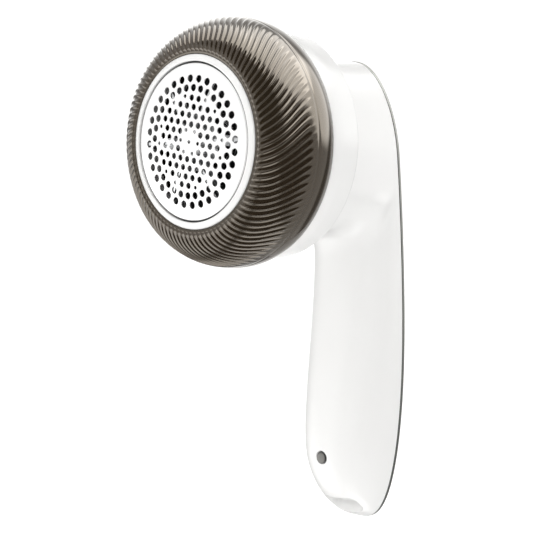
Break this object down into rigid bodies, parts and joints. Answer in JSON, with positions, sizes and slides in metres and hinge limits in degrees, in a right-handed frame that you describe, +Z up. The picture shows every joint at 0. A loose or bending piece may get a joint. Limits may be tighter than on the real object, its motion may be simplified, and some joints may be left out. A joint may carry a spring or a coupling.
{
  "type": "fabric shaver",
  "caption": "Hand-held fabric shaver: perforated domed foil in a ribbed bulged lint ring on a round head, carried in front of a bowed upright handle with a thumb slide behind.",
  "frame": {"origin": "on the cutter axis, in the plane of the foil ring's outer front edge", "axes": "+Z up the handle from its lower end towards the head, -Y out of the shaving face, +X to the right as seen from the shaving side"},
  "size_m": [0.083, 0.0866, 0.1719],
  "materials": {
    "foil_steel": "perforated satin steel",
    "white_gloss": "glossy white moulded plastic",
    "smoke_plastic": "translucent taupe moulded plastic",
    "blade_steel": "ground blade steel",
    "grey_plastic": "grey moulded plastic",
    "dark_plastic": "black moulded plastic",
    "spring_steel": "drawn spring wire",
    "motor_steel": "plated drawn steel",
    "magnet": "sintered ferrite",
    "copper": "enamelled copper",
    "bronze": "sintered bronze",
    "carbon": "carbon",
    "screw_steel": "zinc-plated steel",
    "seal_rubber": "soft elastomer",
    "trim_satin": "satin silver trim",
    "cell_wrap": "shrink-wrapped cell",
    "nickel": "nickel strip",
    "board_green": "solder-masked board",
    "lens_grey": "smoked light lens",
    "led_clear": "moulded lamp",
    "wire_red": "wire insulation",
    "wire_black": "wire insulation"
  },
  "bodies": {
    "handle": {"head_housing": "white_gloss", "container_seal": "seal_rubber", "chamber_plate": "grey_plastic", "plate_screws": "screw_steel", "motor_can": "motor_steel", "motor_screws": "screw_steel", "motor_bushes": "bronze", "motor_magnets": "magnet", "motor_end_cap": "dark_plastic", "motor_terminals": "nickel", "motor_brushes": "carbon", "motor_grommet": "seal_rubber", "handle_front_shell": "white_gloss", "trim_band": "trim_satin", "back_cover": "white_gloss", "cover_screws": "screw_steel", "neck_screws": "screw_steel", "switch_body": "dark_plastic", "battery_cell": "cell_wrap", "battery_tabs": "nickel", "battery_cradle": "grey_plastic", "circuit_board": "board_green", "board_chips": "dark_plastic", "charge_led": "led_clear", "light_lens": "lens_grey", "charging_socket": "nickel", "socket_tongue": "dark_plastic", "motor_wire": "wire_red", "return_wire": "wire_black", "charge_leads": "wire_red"},
    "rotor": {"motor_shaft": "motor_steel", "armature_core": "motor_steel", "armature_windings": "copper", "commutator": "copper", "impeller": "grey_plastic"},
    "cutter": {"cutter_blades": "blade_steel", "cutter_hub": "dark_plastic", "blade_washer": "spring_steel", "cutter_spring": "spring_steel"},
    "container": {"lint_container": "smoke_plastic"},
    "foil_unit": {"foil": "foil_steel", "foil_ring": "white_gloss"},
    "power_slide": {"switch_knob": "trim_satin", "switch_slider": "dark_plastic"}
  },
  "joints": [
    {"name": "rotor_spin", "type": "hinge", "parent": "handle", "child": "rotor", "pos_m": [0, 0.04, 0], "axis": [0, 1, 0], "continuous": true},
    {"name": "cutter_float", "type": "slide", "parent": "rotor", "child": "cutter", "axis": [0, 1, 0], "range_m": [0, 0.001], "stiffness_N_per_m": 900, "springref_m": -0.0015, "deforming": ["cutter_spring"]},
    {"name": "container_off", "type": "slide", "parent": "handle", "child": "container", "axis": [0, -1, 0], "range_m": [0, 0.03]},
    {"name": "foil_unlock", "type": "hinge", "parent": "container", "child": "foil_unit", "pos_m": [0, 0, 0], "axis": [0, -1, 0], "range_deg": [0, 25]},
    {"name": "power_switch", "type": "slide", "parent": "handle", "child": "power_slide", "axis": [0, 0, 1], "range_m": [0, 0.004]}
  ]
}
